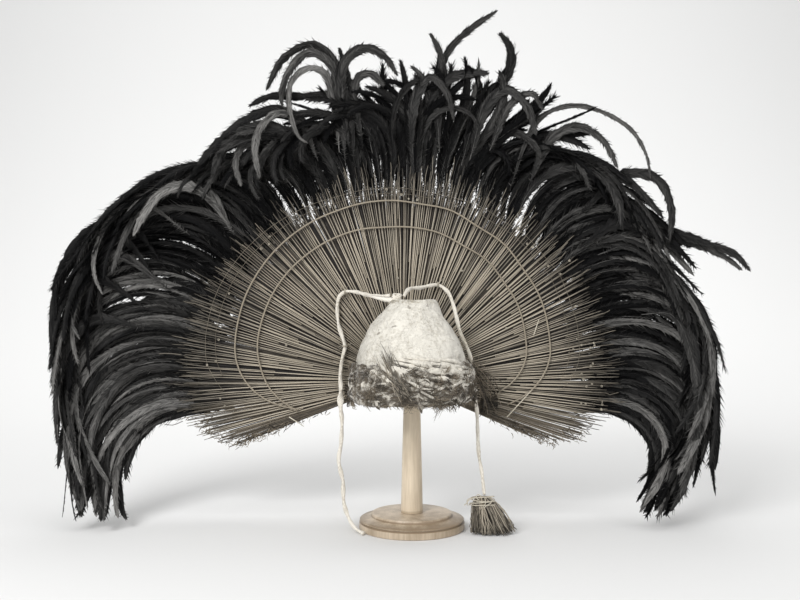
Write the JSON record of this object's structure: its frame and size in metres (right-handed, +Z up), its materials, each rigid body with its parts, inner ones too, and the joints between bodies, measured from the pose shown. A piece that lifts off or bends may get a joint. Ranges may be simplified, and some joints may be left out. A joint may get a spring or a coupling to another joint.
{
  "type": "feathered headdress on a display stand",
  "caption": "Bell-shaped bark-cloth cap with a half-round fan of sticks and long drooping black plumes, a tie cord and a fibre tassel, on a turned wooden stand.",
  "frame": {"origin": "middle of the stand's flat underside", "axes": "+Z up, +X to the wearer's left (the viewer's right), -Y to the front, the side the cap stands on"},
  "size_m": [1.1015, 0.2344, 0.8109],
  "materials": {
    "turned_wood": "satin wax over pale turned wood, darker with age",
    "bark_cloth": "matt off-white beaten bark cloth, mottled",
    "frayed_bark": "matt grey-brown wound and frayed bark cloth",
    "stick": "satin split sticks, grey-brown",
    "dark_stick": "matt dark brown split sticks",
    "cane": "satin cane",
    "feather": "black cock feathers with a soft sheen",
    "cord": "matt off-white twisted bark-cloth cord",
    "fibre": "matt dark brown plant fibre"
  },
  "bodies": {
    "root": {"stand_base": "turned_wood", "stand_pole": "turned_wood", "cap_shell": "bark_cloth", "cap_band": "frayed_bark", "grass_tuft": "stick", "lashing_left": "fibre", "lashing_right": "fibre", "fan_hub": "fibre", "front_sticks_1": "stick", "front_sticks_2": "stick", "front_sticks_3": "stick", "front_sticks_4": "stick", "front_sticks_5": "stick", "front_sticks_6": "stick", "front_sticks_7": "stick", "front_sticks_8": "stick", "back_sticks_1": "dark_stick", "back_sticks_2": "dark_stick", "back_sticks_3": "dark_stick", "back_sticks_4": "dark_stick", "back_sticks_5": "dark_stick", "back_sticks_6": "dark_stick", "outer_hoop": "cane", "inner_hoop": "cane", "plume_01": "feather", "plume_02": "feather", "plume_03": "feather", "plume_04": "feather", "plume_05": "feather", "plume_06": "feather", "plume_07": "feather", "plume_08": "feather", "plume_09": "feather", "plume_10": "feather", "plume_11": "feather", "plume_12": "feather", "plume_13": "feather", "plume_14": "feather", "plume_15": "feather", "plume_16": "feather", "plume_17": "feather", "plume_18": "feather", "cord_knot": "cord", "left_cord": "cord", "right_cord": "cord", "left_tie_upper": "cord", "left_tie_lower": "cord", "right_tie": "cord", "tassel": "fibre"}
  },
  "joints": []
}
